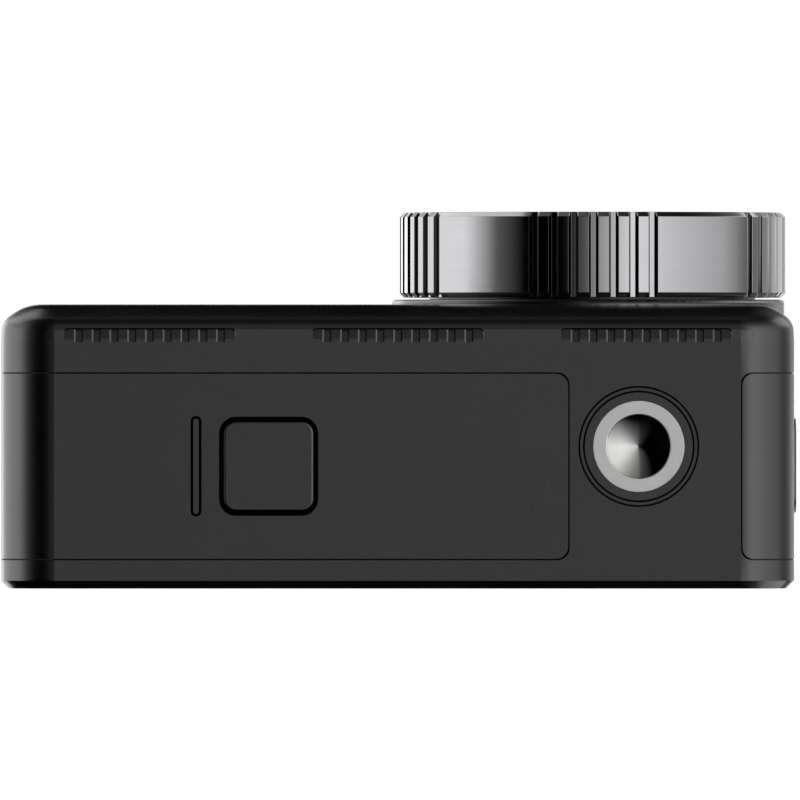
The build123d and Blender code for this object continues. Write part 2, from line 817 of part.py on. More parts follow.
button_size = button_opening - 2 * button_gap
with BuildPart() as battery_door:
    add(door_shape(battery_door_x, -1, battery_pin, 0.0, battery_door_corner))
    rod_y(pin_radius + pin_clear, battery_pin[0], battery_pin[1], (door_front, door_rear), Mode.SUBTRACT)
    add(battery_door_seal.part, mode=Mode.SUBTRACT)
    with BuildSketch(Plane.XY):
        with Locations((release_x, door_middle)):
            RectangleRounded(button_opening, button_opening, button_corner)
    extrude(amount=door_thickness, mode=Mode.SUBTRACT)
    with BuildSketch(Plane.XY):
        with Locations((thumb_x, door_middle)):
            SlotOverall(thumb_length, thumb_width, rotation=90)
            SlotOverall(thumb_length - thumb_rib, thumb_rib, rotation=90, mode=Mode.SUBTRACT)
    extrude(amount=thumb_depth, mode=Mode.SUBTRACT)
    plate_x = (left + plate_left, left + plate_left + plate_width)
    plate_y = around(door_middle, plate_length)
    screws_x = (plate_x[0] + plate_screw_inset, plate_x[1] - plate_screw_inset)
    screws_y = (plate_y[0] + plate_screw_inset, plate_y[1] - plate_screw_inset)
    plate_screws_at = [(x, y) for x in screws_x for y in screws_y]
    for x, y in plate_screws_at:
        bite = (door_thickness - plate_screw_bite, door_thickness)
        rod_z(plate_screw_radius, x, y, bite, Mode.SUBTRACT)
save(battery_door, "battery_door")

flange_size = button_opening + 2 * release_flange
cavity_size = flange_size + 2 * door_gap
with BuildPart() as battery_door_plate:
    block(plate_x, plate_y, plate_z)
    cavity_y = around(door_middle, cavity_size)
    block(around(release_x, cavity_size), cavity_y, (plate_z[0], cavity_roof), Mode.SUBTRACT)
    for x, y in plate_screws_at:
        rod_z(plate_screw_radius, x, y, plate_z, Mode.SUBTRACT)
        rod_z(plate_screw_head, x, y, (plate_z[1] - plate_screw_head_depth, plate_z[1]), Mode.SUBTRACT)
save(battery_door_plate, "battery_door_plate")

with BuildPart() as door_plate_screws:
    for x, y in plate_screws_at:
        rod_z(plate_screw_radius, x, y, (door_thickness - plate_screw_bite, plate_z[1]))
        rod_z(plate_screw_head, x, y, (plate_z[1] - plate_screw_head_depth, plate_z[1]))
save(door_plate_screws, "door_plate_screws")

with BuildPart() as battery_door_latch:
    latch_x = (plate_x[1], plate_x[1] + latch_length)
    latch_z = (door_thickness, door_thickness + latch_depth)
    block(latch_x, around(door_middle, latch_width), latch_z)
save(battery_door_latch, "battery_door_latch")

with BuildPart() as battery_door_pin:
    rod_y(pin_radius, battery_pin[0], battery_pin[1], (door_front - pin_grip, housing_rear))
save(battery_door_pin, "battery_door_pin")

# Release button and its spring
with BuildPart() as release_button:
    cap_corner = button_corner - button_gap
    square_cap(release_x, door_middle, button_size, cap_corner, (release_sink, cap_top))
    fillet(release_button.faces().sort_by(Axis.Z)[0].edges(), button_edge)
    square_cap(release_x, door_middle, flange_size, button_corner, flange_z)
save(release_button, "release_button")

with BuildPart() as release_spring:
    spring_z = (flange_z[1], cavity_roof)
    rod_z(spring_radius, release_x, door_middle, spring_z)
    rod_z(spring_radius - spring_width, release_x, door_middle, spring_z, Mode.SUBTRACT)
save(release_spring, "release_spring")

# Port door
port_inner_face = right - door_thickness
with BuildPart() as port_door_seal:
    with BuildSketch(Plane.YZ.offset(port_inner_face - seal_proud)):
        with Locations((door_middle, usb_z)):
            RectangleRounded(port_seal_width, port_seal_height, 2 * seal_width)
            hole = (port_seal_width - 2 * seal_width, port_seal_height - 2 * seal_width)
            RectangleRounded(hole[0], hole[1], seal_width, mode=Mode.SUBTRACT)
    extrude(amount=seal_proud + seal_bed)
save(port_door_seal, "port_door_seal")

with BuildPart() as port_door:
    add(door_shape(port_door_x, 0, port_pin, 0.0, port_door_corner))
    rod_y(pin_radius + pin_clear, port_pin[0], port_pin[1], (door_front, door_rear), Mode.SUBTRACT)
    add(port_door_seal.part, mode=Mode.SUBTRACT)
save(port_door, "port_door")

with BuildPart() as port_door_pin:
    rod_y(pin_radius, port_pin[0], port_pin[1], (door_front - pin_grip, housing_rear))
save(port_door_pin, "port_door_pin")

# Lens guard: knurled ring, window, seal and the lock ring behind it
with BuildPart() as guard_ring:
    rod_y(guard_radius, lens_x, lens_z, (guard_front, guard_rear))
    chamfer(guard_ring.edges().filter_by(GeomType.CIRCLE), guard_chamfer)
    rod_y(guard_bore, lens_x, lens_z, (guard_front, guard_rear), Mode.SUBTRACT)
    rod_y(guard_seat_radius, lens_x, lens_z, (guard_front, guard_seat), Mode.SUBTRACT)
    pocket_y = (guard_rear - lock_pocket_depth, guard_rear)
    rod_y(lock_pocket_radius, lens_x, lens_z, pocket_y, Mode.SUBTRACT)
    with BuildSketch(facing(guard_rear)):
        with Locations((lens_x, lens_z)):
            for group in range(knurl_groups):
                first_angle = group * 360 / knurl_groups - 90 - knurl_pitch * (knurl_grooves - 1) / 2
                spread = knurl_pitch * (knurl_grooves - 1)
                with PolarLocations(guard_radius, knurl_grooves, first_angle, spread, endpoint=True):
                    Rectangle(2 * knurl_groove_depth, knurl_groove_width)
    extrude(amount=guard_depth, mode=Mode.SUBTRACT)
save(guard_ring, "guard_ring")

with BuildPart() as guard_window:
    rod_y(guard_seat_radius, lens_x, lens_z, (guard_seat - window_depth, guard_seat))
save(guard_window, "guard_window")

with BuildPart() as guard_seal:
    guard_seal_y = (guard_seat, guard_seat + guard_seal_depth)
    rod_y(guard_bore, lens_x, lens_z, guard_seal_y)
    rod_y(guard_seal_bore, lens_x, lens_z, guard_seal_y, Mode.SUBTRACT)
save(guard_seal, "guard_seal")

with BuildPart() as guard_lock_ring:
    lock_rear = guard_rear - lock_lift
    lock_y = (lock_rear - lock_depth, lock_rear)
    rod_y(lock_radius, lens_x, lens_z, lock_y)
    rod_y(lock_bore, lens_x, lens_z, lock_y, Mode.SUBTRACT)
save(guard_lock_ring, "guard_lock_ring")

# Shutter button, its mark, switch and board
flange_top = ceiling - seal_washer - glass_clear
cap_z = (body_height + shutter_proud - shutter_cap_depth, body_height + shutter_proud)
switch_top = cradle_z[1] + button_board_depth + shutter_switch_height
with BuildPart() as shutter_button:
    rod_z(shutter_radius, shutter_x, 0, (flange_top, cap_z[1]))
    fillet(shutter_button.faces().sort_by(Axis.Z)[-1].edges(), shutter_edge)
    shutter_flange_z = (flange_top - shutter_flange_depth, flange_top)
    rod_z(shutter_radius + shutter_flange, shutter_x, 0, shutter_flange_z)
    rod_z(button_stem, shutter_x, 0, (switch_top + shutter_travel + stem_clear, shutter_flange_z[0]))
    with BuildSketch(Plane.XY.offset(cap_z[1] - mark_depth)):
        with Locations((shutter_x, 0)):
            Circle(mark_radius)
            Circle(mark_radius - mark_width, mode=Mode.SUBTRACT)
    extrude(amount=mark_depth, mode=Mode.SUBTRACT)
save(shutter_button, "shutter_button")

with BuildPart() as shutter_button_mark:
    rod_z(mark_radius, shutter_x, 0, (cap_z[1] - mark_depth, cap_z[1]))
    rod_z(mark_radius - mark_width, shutter_x, 0, (cap_z[1] - mark_depth, cap_z[1]), Mode.SUBTRACT)
save(shutter_button_mark, "shutter_button_mark")

with BuildPart() as button_board:
    board_z = (cradle_z[1], cradle_z[1] + button_board_depth)
    block(around(shutter_x, button_board_width), around(0, button_board_length), board_z)
save(button_board, "button_board")

with BuildPart() as shutter_switch:
    block(around(shutter_x, switch_size), around(0, switch_size), (board_z[1], switch_top))
save(shutter_switch, "shutter_switch")

# Power button, its switch and board
power_cap_x = (right + power_proud - power_cap_depth, right + power_proud)
power_flange_top = right - power_roof - seal_washer - glass_clear
power_flange_x = (power_flange_top - power_flange_depth, power_flange_top)
with BuildPart() as power_button:
    with BuildSketch(Plane.YZ.offset(power_flange_x[1])):
        with Locations((door_middle, power_z)):
            RectangleRounded(button_opening - 2 * door_gap, button_opening - 2 * door_gap, button_corner)
    extrude(amount=power_cap_x[1] - power_flange_x[1])
    fillet(power_button.faces().sort_by(Axis.X)[-1].edges(), button_edge)
    power_flange_size = button_opening + 2 * power_flange
    block(power_flange_x, around(door_middle, power_flange_size), around(power_z, power_flange_size))
    stem_end = inner_right + power_switch_depth + power_travel + stem_clear
    rod_x(button_stem, door_middle, power_z, (stem_end, power_flange_x[0]))
save(power_button, "power_button")

with BuildPart() as power_switch:
    power_board_size = power_room + 2 * power_board_margin
    board_front = door_middle - power_room / 2 - power_board_margin / 2
    board_rear = door_middle + power_room / 2 + glass_clear
    board_x = (inner_right - power_board_depth, inner_right)
    block(board_x, (board_front, board_rear), around(power_z, power_board_size))
    switch_x = (inner_right, inner_right + power_switch_depth)
    block(switch_x, around(door_middle, switch_size), around(power_z, switch_size))
save(power_switch, "power_switch")

with BuildPart() as button_seals:
    rod_z(flange_room, shutter_x, 0, (ceiling - seal_washer, ceiling))
    rod_z(shutter_radius + shutter_clear, shutter_x, 0, (ceiling - seal_washer, ceiling), Mode.SUBTRACT)
    washer_x = (right - power_roof - seal_washer, right - power_roof)
    block(washer_x, power_room_y, power_room_z)
    block(washer_x, power_hole[0], power_hole[1], Mode.SUBTRACT)
save(button_seals, "button_seals")

# Screws
with BuildPart() as case_screws:
    for x, z in case_screws_at:
        rod_y(screw_radius, x, z, (crease - screw_bite, screw_shoulder))
        rod_y(screw_head_radius, x, z, (screw_shoulder, screw_shoulder + screw_head_depth))
save(case_screws, "case_screws")

with BuildPart() as board_screws:
    for x, z in board_screws_at:
        rod_y(board_screw_radius, x, z, (spreader_rear - board_screw_bite, main_board_rear))
        rod_y(board_screw_head, x, z, (main_board_rear, main_board_rear + board_screw_head_depth))
save(board_screws, "board_screws")

# Sound, lights and radio
with BuildPart() as speaker:
    speaker_x = (speaker_left, speaker_left + speaker_width)
    speaker_z = (cover_wall, cover_wall + speaker_height)
    block(speaker_x, (cavity_front, cavity_front + speaker_depth), speaker_z)
save(speaker, "speaker")

with BuildPart() as microphones:
    for x, z in microphones_at:
        rod_y(microphone_radius, x, z, (cavity_front, cavity_front + microphone_depth))
save(microphones, "microphones")

with BuildPart() as status_lights:
    for x, z in lights_at:
        rod_y(light_radius, x, z, (front, cavity_front))
save(status_lights, "status_lights")

with BuildPart() as antenna:
    antenna_left = shutter_x + shutter_collar + antenna_gap
    antenna_x = (antenna_left, antenna_left + antenna_width)
    block(antenna_x, around(0, antenna_length), (inner_top - antenna_depth, inner_top))
save(antenna, "antenna")
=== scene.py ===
"""Action camera: finishes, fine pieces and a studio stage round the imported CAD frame."""

import json
import math

import bmesh
import bpy
from mathutils import Matrix, Vector


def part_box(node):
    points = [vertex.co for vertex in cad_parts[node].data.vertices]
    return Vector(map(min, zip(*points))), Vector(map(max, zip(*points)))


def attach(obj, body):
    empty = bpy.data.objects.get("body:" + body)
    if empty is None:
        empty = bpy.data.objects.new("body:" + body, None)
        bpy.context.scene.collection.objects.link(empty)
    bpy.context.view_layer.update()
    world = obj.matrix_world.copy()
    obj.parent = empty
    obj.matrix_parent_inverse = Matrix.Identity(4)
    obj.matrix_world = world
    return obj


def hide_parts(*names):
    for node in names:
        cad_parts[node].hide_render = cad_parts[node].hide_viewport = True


bl_info = {
    "name": "Action Camera Looks",
    "version": (1, 0, 0),
    "blender": (4, 5, 0),
    "location": "View3D > Sidebar > Action Camera",
    "description": "Adds finishes, fine pieces and a studio stage to an action camera",
    "category": "Object",
}

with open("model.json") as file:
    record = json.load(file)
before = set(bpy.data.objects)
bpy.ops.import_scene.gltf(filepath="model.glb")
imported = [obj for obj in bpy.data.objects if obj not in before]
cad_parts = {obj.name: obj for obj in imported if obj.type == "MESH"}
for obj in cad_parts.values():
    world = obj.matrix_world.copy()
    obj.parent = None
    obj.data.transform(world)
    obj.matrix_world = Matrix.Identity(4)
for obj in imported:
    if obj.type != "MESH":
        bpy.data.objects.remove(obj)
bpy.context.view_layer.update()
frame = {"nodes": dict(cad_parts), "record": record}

MM = 0.001
REAR = Vector((0, 1, 0))
RIGHT = Vector((1, 0, 0))
UP = Vector((0, 0, 1))
FULL_TURN = 2 * math.pi


def middle(node):
    """The middle of a CAD node's box."""
    low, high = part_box(node)
    return (low + high) / 2


def half_width(node):
    """Half of a CAD node's width along X."""
    low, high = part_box(node)
    return (high.x - low.x) / 2


# The wrapping light's brightness by angle from straight down, in degrees toward the right.
LIGHT_BANDS = (
    (-168, 0.0),
    (-150, 0.9),
    (-115, 0.95),
    (-83, 1.0),
    (-60, 0.12),
    (-42, 0.0),
    (-16, 0.0),
    (-3, 0.12),
    (0, 0.33),
    (8, 0.5),
    (24, 1.0),
    (50, 0.74),
    (85, 0.5),
    (105, 0.14),
    (125, 0.25),
    (150, 0.6),
    (168, 0.0),
)

# How much of it is left toward the front, at -1, and the rear, at 1.
LIGHT_DEPTH = (
    (-1.0, 0.14),
    (-0.98, 0.1),
    (-0.9, 0.04),
    (-0.83, 0.08),
    (-0.67, 0.24),
    (-0.48, 0.55),
    (-0.27, 0.9),
    (0.0, 1.0),
    (0.12, 0.76),
    (0.5, 0.0),
    (1.0, 0.0),
)

# The lens axis runs along Y through here.
LENS = Vector((middle("lens_element_1").x, 0, middle("lens_element_1").z))
THREAD = Vector((middle("tripod_insert").x, middle("tripod_insert").y, 0))

# The clear opening of the ring that holds the front lens element.
RETAINER_BORE = 8.6 * MM


class CameraSizes(bpy.types.PropertyGroup):
    """Sizes of the fine pieces."""

    knurl_depth: bpy.props.FloatProperty(
        name="Knurl depth",
        description="Depth of the grooves round the lens guard",
        default=0.4 * MM,
        unit="LENGTH",
    )
    knurl_floor: bpy.props.FloatProperty(
        name="Knurl floor",
        description="Half of the angle that a groove's flat floor takes up",
        default=math.radians(0.8),
        subtype="ANGLE",
    )
    knurl_mouth: bpy.props.FloatProperty(
        name="Knurl mouth",
        description="Half of the angle that a groove takes up at the rim",
        default=math.radians(1.4),
        subtype="ANGLE",
    )
    ring_chamfer: bpy.props.FloatProperty(
        name="Ring chamfer",
        description="Chamfer on both ends of the lens guard",
        default=0.39 * MM,
        unit="LENGTH",
    )
    thread_pitch: bpy.props.FloatProperty(
        name="Thread pitch",
        description="Pitch of the tripod thread, twenty turns to the inch",
        default=1.27 * MM,
        unit="LENGTH",
    )
    thread_radius: bpy.props.FloatProperty(
        name="Thread radius",
        description="Major radius of the tripod thread",
        default=3.175 * MM,
        unit="LENGTH",
    )
    dome: bpy.props.FloatProperty(
        name="Front element dome",
        description="How far the front lens element bulges",
        default=1.5 * MM,
        unit="LENGTH",
    )


class CameraFinishes(bpy.types.PropertyGroup):
    """Colours of the finishes."""

    body: bpy.props.FloatVectorProperty(
        name="Body plastic",
        description="Colour of the moulded body",
        default=(0.0045, 0.0047, 0.005),
        subtype="COLOR",
    )
    ring: bpy.props.FloatVectorProperty(
        name="Lens guard",
        description="Colour of the knurled metal ring",
        default=(0.37, 0.37, 0.38),
        subtype="COLOR",
    )
    insert: bpy.props.FloatVectorProperty(
        name="Tripod insert",
        description="Colour of the threaded insert",
        default=(0.96, 0.955, 0.94),
        subtype="COLOR",
    )
    accent: bpy.props.FloatVectorProperty(
        name="Accent",
        description="Colour of the ring on the shutter button",
        default=(0.45, 0.012, 0.012),
        subtype="COLOR",
    )


class CameraStage(bpy.types.PropertyGroup):
    """The stage's lights and camera."""

    side_light: bpy.props.FloatProperty(
        name="Side lights",
        description="Radiance of the soft lights that wrap the underside from left to right",
        default=1.85,
    )
    room_light: bpy.props.FloatProperty(
        name="Room light",
        description="Radiance of the soft lights round the front, back and top",
        default=1.2,
    )
    view_width: bpy.props.FloatProperty(
        name="View width",
        description="Width that the camera sees at the bottom face",
        default=66.67 * MM,
        unit="LENGTH",
    )
    focal_length: bpy.props.FloatProperty(
        name="Focal length",
        description="Focal length of the camera, in millimetres",
        default=1500.0,
    )


# ---------------------------------------------------------------- materials


def add_node(tree, kind, inputs=None, **settings):
    """Adds a shader node, with each input set to a value or linked from a socket."""
    node = tree.nodes.new(kind)
    for name, value in settings.items():
        setattr(node, name, value)
    for name, value in (inputs or {}).items():
        if isinstance(value, bpy.types.NodeSocket):
            tree.links.new(value, node.inputs[name])
        else:
            node.inputs[name].default_value = value
    return node


def new_material(name, **sockets):
    """A material with one Principled shader, its plain numbers set on its own sockets."""
    material = bpy.data.materials.new(name + "_finish")
    material.use_nodes = True
    shader = material.node_tree.nodes["Principled BSDF"]
    for socket, value in sockets.items():
        if isinstance(value, (tuple, list)) and len(value) == 3:
            value = (*value, 1.0)
        shader.inputs[socket.replace("_", " ").title().replace("Ior", "IOR")].default_value = value
    return material, material.node_tree, shader


def object_place(tree, stretch=(1, 1, 1), centre=(0, 0, 0)):
    """Object coordinates, moved to a centre and stretched."""
    place = add_node(tree, "ShaderNodeTexCoord").outputs["Object"]
    offset = [-part * scale for part, scale in zip(centre, stretch)]
    mapping = add_node(tree, "ShaderNodeMapping", {"Vector": place, "Location": offset, "Scale": stretch})
    return mapping.outputs["Vector"]


def noise(tree, place, size, detail=2.0, roughness=0.5):
    """Noise with bumps of about this size in metres."""
    inputs = {"Vector": place, "Scale": 1 / size, "Detail": detail, "Roughness": roughness}
    return add_node(tree, "ShaderNodeTexNoise", inputs).outputs["Fac"]


def remap(tree, value, low, high, to_low, to_high):
    """A value moved from one range to another and clamped."""
    inputs = {"Value": value, "From Min": low, "From Max": high, "To Min": to_low, "To Max": to_high}
    return add_node(tree, "ShaderNodeMapRange", inputs).outputs["Result"]


def arithmetic(tree, operation, first, second=0.0):
    """The result of one arithmetic node."""
    return add_node(tree, "ShaderNodeMath", {0: first, 1: second}, operation=operation).outputs[0]


def product(tree, factors):
    """Several values multiplied together."""
    result = factors[0]
    for factor in factors[1:]:
        result = arithmetic(tree, "MULTIPLY", result, factor)
    return result


def coordinates(tree, name):
    """A texture coordinate, split into its three parts."""
    place = add_node(tree, "ShaderNodeTexCoord").outputs[name]
    return add_node(tree, "ShaderNodeSeparateXYZ", {0: place}).outputs


def fill_ramp(ramp, stops):
    """Sets a grey ramp's stops from (place, level) pairs."""
    while len(ramp.elements) < len(stops):
        ramp.elements.new(1.0)
    for element, (place, level) in zip(ramp.elements, stops):
        element.position = place
        element.color = (level, level, level, 1)


def tint(tree, shader, factor, dark, light):
    """Drives the base colour between two colours."""
    mix = add_node(tree, "ShaderNodeMix", data_type="RGBA")
    tree.links.new(factor, mix.inputs["Factor"])
    colours = [socket for socket in mix.inputs if socket.type == "RGBA"]
    colours[0].default_value = (*dark, 1)
    colours[1].default_value = (*light, 1)
    result = [socket for socket in mix.outputs if socket.type == "RGBA"][0]
    tree.links.new(result, shader.inputs["Base Color"])


def bump(tree, shader, height, distance, strength):
    """Raises the surface by a height map."""
    inputs = {"Height": height, "Distance": distance, "Strength": strength}
    node = add_node(tree, "ShaderNodeBump", inputs)
    tree.links.new(node.outputs["Normal"], shader.inputs["Normal"])


def shade(colour, factor):
    """A colour made darker or lighter."""
    return tuple(part * factor for part in colour)


def joint_floor_shade(tree):
    """Where painted shade falls on a face that looks down from inside a joint or a groove of the underside.
    """
    height = coordinates(tree, "Object")[2]
    facing = coordinates(tree, "Normal")
    deep = remap(tree, height, 0.12 * MM, 0.23 * MM, 0, 1)
    shallow = remap(tree, height, 0.03 * MM, 0.05 * MM, 0, 1)
    leaning_forward = remap(tree, facing[1], -0.14, -0.08, 0.45, 0)
    sloped = product(tree, (leaning_forward, shallow))
    inside = arithmetic(tree, "MAXIMUM", deep, sloped)
    near_the_bottom = remap(tree, height, 2.5 * MM, 3.0 * MM, 1, 0)
    facing_down = remap(tree, facing[2], -0.985, -0.96, 1, 0)
    return product(tree, (inside, near_the_bottom, facing_down))


def paint_shade(tree, shader, mask, left):
    """Paints shade: makes the base colour nearly black under a mask, keeping a share of it."""
    before = shader.inputs["Base Color"].links[0].from_socket
    kept = remap(tree, mask, 0, 1, 1, left)
    darker = add_node(tree, "ShaderNodeVectorMath", {0: before, 1: kept}, operation="MULTIPLY")
    tree.links.new(darker.outputs["Vector"], shader.inputs["Base Color"])


def moulded(
    name, colour, roughness, grain=0.14 * MM, depth=0.006 * MM, smudge=0.05, joints=False, **sockets
):
    """Moulded plastic: fine spark-eroded grain, faint colour drift and handled patches, with painted shade
    on the floors of joints and grooves if asked.
    """
    material, tree, shader = new_material(name, base_color=colour, **sockets)
    place = object_place(tree)
    fine = noise(tree, place, grain, 3.0, 0.6)
    broad = noise(tree, place, 9 * MM, 4.0, 0.55)
    speck = noise(tree, place, 0.45 * MM, 2.0, 0.5)
    drift = product(tree, (broad, speck))
    tint(tree, shader, remap(tree, drift, 0.15, 0.4, 0, 1), shade(colour, 0.82), shade(colour, 1.22))
    rough = remap(tree, broad, 0.3, 0.7, roughness - smudge, roughness + smudge)
    tree.links.new(rough, shader.inputs["Roughness"])
    bump(tree, shader, fine, depth, 0.6)
    if joints:
        # Painted shade: floors inside joints and grooves are blackened and made metallic, so their gloss
        # goes too.
        mask = joint_floor_shade(tree)
        paint_shade(tree, shader, mask, 0.4)
        tree.links.new(mask, shader.inputs["Metallic"])
    return material


def knurl_wall_shade(tree, radial, length, radius):
    """Where painted shade falls on a face that leans sideways between the ribs of a knurl round the Y axis,
    less towards the lit right side.
    """
    normal = add_node(tree, "ShaderNodeTexCoord").outputs["Normal"]
    inputs = {0: radial, 1: normal}
    outward = add_node(tree, "ShaderNodeVectorMath", inputs, operation="DOT_PRODUCT").outputs["Value"]
    upright = arithmetic(tree, "DIVIDE", outward, length)
    along = arithmetic(tree, "ABSOLUTE", coordinates(tree, "Normal")[1])
    across = add_node(tree, "ShaderNodeSeparateXYZ", {0: radial}).outputs[0]
    leaning = remap(tree, upright, 0.93, 0.985, 1, 0)
    sideways = remap(tree, along, 0.2, 0.4, 1, 0)
    at_the_rim = remap(tree, length, 0.9 * radius, 0.95 * radius, 0, 1)
    shade_toward_left = remap(tree, across, 0.45 * radius, 0.7 * radius, 1, 0.15)
    return product(tree, (leaning, sideways, at_the_rim, shade_toward_left))


def turned_metal(name, colour, roughness, centre, line=0.03 * MM, depth=0.0008 * MM, knurled=0):
    """Metal turned on a lathe: fine rings round the Y axis through the centre, with painted shade on the
    walls of a knurl if asked.
    """
    material, tree, shader = new_material(name, base_color=colour, metallic=1.0)
    radial = object_place(tree, (1, 0, 1), centre)
    radius = add_node(tree, "ShaderNodeVectorMath", {0: radial}, operation="LENGTH").outputs["Value"]
    axial = add_node(tree, "ShaderNodeSeparateXYZ", {0: object_place(tree, (0, 1, 0), centre)}).outputs[1]
    rings = add_node(tree, "ShaderNodeCombineXYZ", {"X": radius, "Y": axial}).outputs["Vector"]
    lines = noise(tree, rings, line, 2.0, 0.6)
    patches = noise(tree, object_place(tree), 3 * MM, 3.0, 0.6)
    tint(tree, shader, remap(tree, lines, 0.3, 0.7, 0, 1), shade(colour, 0.93), shade(colour, 1.05))
    rough = remap(tree, patches, 0.3, 0.7, roughness * 0.85, roughness * 1.2)
    tree.links.new(rough, shader.inputs["Roughness"])
    bump(tree, shader, lines, depth, 0.5)
    if knurled:
        # Painted shade: the walls between the knurl's ribs are blackened, less towards the lit right side.
        paint_shade(tree, shader, knurl_wall_shade(tree, radial, radius, knurled), 0.05)
    return material


def blasted_metal(name, colour, roughness):
    """Bare metal with a fine bead-blasted skin."""
    material, tree, shader = new_material(name, base_color=colour, metallic=1.0)
    place = object_place(tree)
    pits = noise(tree, place, 0.09 * MM, 3.0, 0.65)
    stain = noise(tree, place, 1.6 * MM, 3.0, 0.6)
    tint(tree, shader, remap(tree, stain, 0.3, 0.7, 0, 1), shade(colour, 0.94), shade(colour, 1.03))
    rough = remap(tree, stain, 0.3, 0.7, roughness - 0.04, roughness + 0.05)
    tree.links.new(rough, shader.inputs["Roughness"])
    bump(tree, shader, pits, 0.004 * MM, 0.5)
    return material


def threaded_metal(name, colour):
    """Plated metal: a fine blasted face, and smooth turned walls inside, whose colour darkens with height
    into the bore as painted shade.
    """
    material, tree, shader = new_material(name, base_color=colour, metallic=1.0)
    place = object_place(tree)
    pits = noise(tree, place, 0.09 * MM, 3.0, 0.65)
    stain = noise(tree, place, 1.6 * MM, 3.0, 0.6)
    height = coordinates(tree, "Object")[2]
    face, wall = 0.3 * MM, 1.2 * MM
    # Painted shade: the colour falls to 0.45 of itself from the face up into the bore.
    tint(tree, shader, remap(tree, height, face, wall, 0, 1), colour, shade(colour, 0.45))
    worn = remap(tree, stain, 0.3, 0.7, 0.95, 1.05)
    rough = product(tree, (remap(tree, height, face, wall, 0.35, 0.09), worn))
    tree.links.new(rough, shader.inputs["Roughness"])
    bump(tree, shader, pits, 0.003 * MM, 0.4)
    return material


def stamped_metal(name, colour, roughness):
    """Sheet metal with a drawn grain along X."""
    material, tree, shader = new_material(name, base_color=colour, metallic=1.0)
    grain = noise(tree, object_place(tree, (0.04, 1, 1)), 0.06 * MM, 3.0, 0.6)
    cloud = noise(tree, object_place(tree), 2.5 * MM, 2.0, 0.5)
    tint(tree, shader, remap(tree, cloud, 0.3, 0.7, 0, 1), shade(colour, 0.88), shade(colour, 1.06))
    rough = remap(tree, grain, 0.3, 0.7, roughness - 0.06, roughness + 0.08)
    tree.links.new(rough, shader.inputs["Roughness"])
    bump(tree, shader, grain, 0.001 * MM, 0.5)
    return material


def clear_glass(name, colour, ior, coat_tint):
    """Coated glass that lets light through, with a faint film on it."""
    material, tree, shader = new_material(
        name,
        base_color=colour,
        transmission_weight=1.0,
        ior=ior,
        coat_weight=0.4,
        coat_tint=coat_tint,
        coat_roughness=0.02,
    )
    film = noise(tree, object_place(tree), 5 * MM, 3.0, 0.6)
    tree.links.new(remap(tree, film, 0.35, 0.75, 0.0, 0.02), shader.inputs["Roughness"])
    return material


def black_glass(name, colour, screen_low, screen_high, screen_colour):
    """Dark cover glass, with the screen's panel just visible behind it."""
    material, tree, shader = new_material(name, base_color=colour, coat_weight=0.5, coat_roughness=0.03)
    parts = coordinates(tree, "Object")
    soft = 0.06 * MM
    sides = [
        remap(tree, parts[axis], edge - sign * soft, edge + sign * soft, 0, 1)
        for axis in (0, 2)
        for edge, sign in ((screen_low[axis], 1), (screen_high[axis], -1))
    ]
    tint(tree, shader, product(tree, sides), colour, screen_colour)
    film = noise(tree, object_place(tree), 7 * MM, 4.0, 0.6)
    tree.links.new(remap(tree, film, 0.35, 0.75, 0.04, 0.11), shader.inputs["Roughness"])
    return material


def circuit_board(name, colour):
    """Solder mask over copper tracks."""
    material, tree, shader = new_material(name, base_color=colour, coat_weight=0.3)
    place = object_place(tree, (1, 0.02, 1))
    tracks = add_node(
        tree,
        "ShaderNodeTexBrick",
        {"Vector": place, "Scale": 1 / (2.4 * MM), "Mortar Size": 0.06, "Color1": (0, 0, 0, 1)},
    ).outputs["Fac"]
    tint(tree, shader, tracks, colour, shade(colour, 2.4))
    weave = noise(tree, place, 0.3 * MM, 3.0, 0.6)
    tree.links.new(remap(tree, weave, 0.3, 0.7, 0.28, 0.42), shader.inputs["Roughness"])
    bump(tree, shader, tracks, 0.02 * MM, 0.5)
    return material


def soft_rubber(name, colour):
    """Moulded silicone with a dull, slightly dusty skin."""
    material, tree, shader = new_material(name, base_color=colour, sheen_weight=0.2, sheen_roughness=0.5)
    place = object_place(tree)
    dust = noise(tree, place, 0.5 * MM, 4.0, 0.65)
    tint(tree, shader, remap(tree, dust, 0.4, 0.75, 0, 1), shade(colour, 0.8), shade(colour, 1.7))
    tree.links.new(remap(tree, dust, 0.3, 0.7, 0.62, 0.8), shader.inputs["Roughness"])
    bump(tree, shader, noise(tree, place, 0.1 * MM, 2.0), 0.004 * MM, 0.5)
    return material


def sensor_face(name):
    """A sensor die whose fine grid throws colour."""
    material, tree, shader = new_material(
        name, base_color=(0.03, 0.05, 0.09), metallic=0.6, roughness=0.12, coat_weight=1.0
    )
    waves = add_node(
        tree,
        "ShaderNodeTexWave",
        {"Vector": object_place(tree), "Scale": 1 / (0.9 * MM), "Distortion": 2.0},
    ).outputs["Fac"]
    tint(tree, shader, waves, (0.05, 0.03, 0.12), (0.02, 0.1, 0.08))
    return material


def printed_wrap(name, colour):
    """A battery's printed wrap with one plain band."""
    material, tree, shader = new_material(name, base_color=colour)
    height = coordinates(tree, "Object")[2]
    low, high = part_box("battery")
    band = low.z + 0.2 * (high.z - low.z)
    above = remap(tree, height, band - 0.05 * MM, band + 0.05 * MM, 0, 1)
    tint(tree, shader, above, (0.09, 0.1, 0.11), colour)
    crease = noise(tree, object_place(tree), 0.8 * MM, 4.0, 0.6)
    tree.links.new(remap(tree, crease, 0.3, 0.7, 0.3, 0.45), shader.inputs["Roughness"])
    bump(tree, shader, crease, 0.01 * MM, 0.4)
    return material


